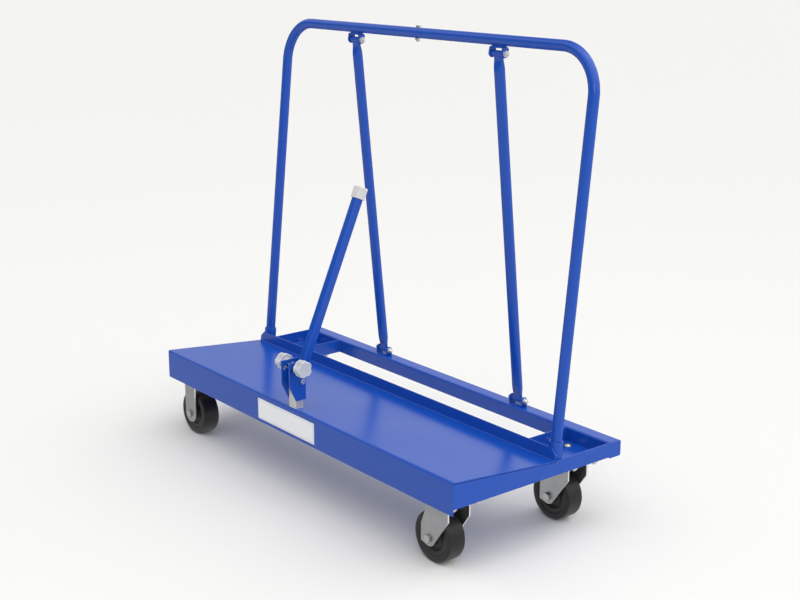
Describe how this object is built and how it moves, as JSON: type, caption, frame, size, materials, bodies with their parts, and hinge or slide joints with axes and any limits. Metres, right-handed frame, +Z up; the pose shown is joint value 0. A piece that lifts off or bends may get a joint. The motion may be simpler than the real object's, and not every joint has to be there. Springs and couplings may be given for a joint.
{
  "type": "drywall panel cart",
  "caption": "Panel cart with a low sloping deck on casters, a leaning round-tube back frame with braces, and a clamp arm at the front edge.",
  "frame": {"origin": "on the ground under the middle of the cart's overall box", "axes": "+X along the deck, towards the swivel casters; +Y from the front skirt to the back frame; +Z up"},
  "size_m": [1.25, 0.5606, 1.177],
  "materials": {
    "blue_paint": "blue powder coat, light orange peel",
    "zinc_steel": "bright zinc plate",
    "black_rubber": "moulded-on black rubber",
    "black_core": "black wheel core",
    "grey_plastic": "light grey moulded plastic",
    "grey_cap": "light grey rubber cap",
    "grey_paint": "light grey paint",
    "white_vinyl": "plain white vinyl"
  },
  "bodies": {
    "chassis": {"deck_pan": "blue_paint", "side_plate_left": "blue_paint", "side_plate_right": "blue_paint", "rear_rail": "blue_paint", "rail_end_caps": "blue_paint", "cross_member_left": "blue_paint", "cross_member_right": "blue_paint", "deck_ribs": "blue_paint", "rear_bearer": "blue_paint", "caster_floor_left": "blue_paint", "caster_floor_right": "blue_paint", "post_socket_left": "blue_paint", "post_socket_right": "blue_paint", "frame_tube_left": "blue_paint", "frame_tube_right": "blue_paint", "frame_spigot": "zinc_steel", "frame_joint_bolt": "zinc_steel", "frame_joint_nut": "zinc_steel", "top_bracket_left": "blue_paint", "top_bracket_right": "blue_paint", "bottom_bracket_left": "blue_paint", "bottom_bracket_right": "blue_paint", "brace_left": "blue_paint", "brace_right": "blue_paint", "brace_bolts": "zinc_steel", "brace_washers": "zinc_steel", "brace_nuts": "zinc_steel", "skirt_label": "white_vinyl", "clamp_foot": "grey_paint", "clamp_foot_bolt": "zinc_steel", "clamp_cheek_left": "blue_paint", "clamp_cheek_right": "blue_paint", "clamp_pivot_bolt": "zinc_steel", "clamp_pivot_nut": "zinc_steel", "caster_bolts": "zinc_steel", "caster_nuts": "zinc_steel", "kingpins": "zinc_steel", "top_plate_front_right": "zinc_steel", "top_plate_rear_right": "zinc_steel", "fixed_fork_front_left": "zinc_steel", "fixed_fork_rear_left": "zinc_steel", "fixed_axles": "zinc_steel"},
    "arm": {"clamp_arm": "blue_paint", "arm_cap": "grey_cap", "clamp_rod": "zinc_steel", "rod_washers": "zinc_steel"},
    "knob_left": {"knob_left": "grey_plastic"},
    "knob_right": {"knob_right": "grey_plastic"},
    "swivel_front": {"swivel_fork_front_right": "zinc_steel", "axle_front_right": "zinc_steel"},
    "swivel_rear": {"swivel_fork_rear_right": "zinc_steel", "axle_rear_right": "zinc_steel"},
    "wheel_front_right": {"tyre_front_right": "black_rubber", "wheel_core_front_right": "black_core"},
    "wheel_rear_right": {"tyre_rear_right": "black_rubber", "wheel_core_rear_right": "black_core"},
    "wheel_front_left": {"tyre_front_left": "black_rubber", "wheel_core_front_left": "black_core"},
    "wheel_rear_left": {"tyre_rear_left": "black_rubber", "wheel_core_rear_left": "black_core"}
  },
  "joints": [
    {"name": "arm_tilt", "type": "hinge", "parent": "chassis", "child": "arm", "pos_m": [0, -0.24175, 0.3105], "axis": [1, 0, 0], "range_deg": [-10, 25]},
    {"name": "knob_right_turn", "type": "hinge", "parent": "arm", "child": "knob_right", "pos_m": [0, -0.25535, 0.35235], "axis": [1, 0, 0], "range_deg": [0, 360]},
    {"name": "knob_left_turn", "type": "hinge", "parent": "arm", "child": "knob_left", "pos_m": [0, -0.25535, 0.35235], "axis": [1, 0, 0], "range_deg": [-360, 0]},
    {"name": "swivel_front_turn", "type": "hinge", "parent": "chassis", "child": "swivel_front", "pos_m": [0.555, -0.20525, 0.15], "axis": [0, 0, 1], "continuous": true},
    {"name": "swivel_rear_turn", "type": "hinge", "parent": "chassis", "child": "swivel_rear", "pos_m": [0.555, 0.17925, 0.15], "axis": [0, 0, 1], "continuous": true},
    {"name": "wheel_front_right_spin", "type": "hinge", "parent": "swivel_front", "child": "wheel_front_right", "pos_m": [0.515, -0.20525, 0.0625], "axis": [0, 1, 0], "continuous": true},
    {"name": "wheel_rear_right_spin", "type": "hinge", "parent": "swivel_rear", "child": "wheel_rear_right", "pos_m": [0.515, 0.17925, 0.0625], "axis": [0, 1, 0], "continuous": true},
    {"name": "wheel_front_left_spin", "type": "hinge", "parent": "chassis", "child": "wheel_front_left", "pos_m": [-0.555, -0.20525, 0.0625], "axis": [0, 1, 0], "continuous": true},
    {"name": "wheel_rear_left_spin", "type": "hinge", "parent": "chassis", "child": "wheel_rear_left", "pos_m": [-0.555, 0.17925, 0.0625], "axis": [0, 1, 0], "continuous": true}
  ]
}
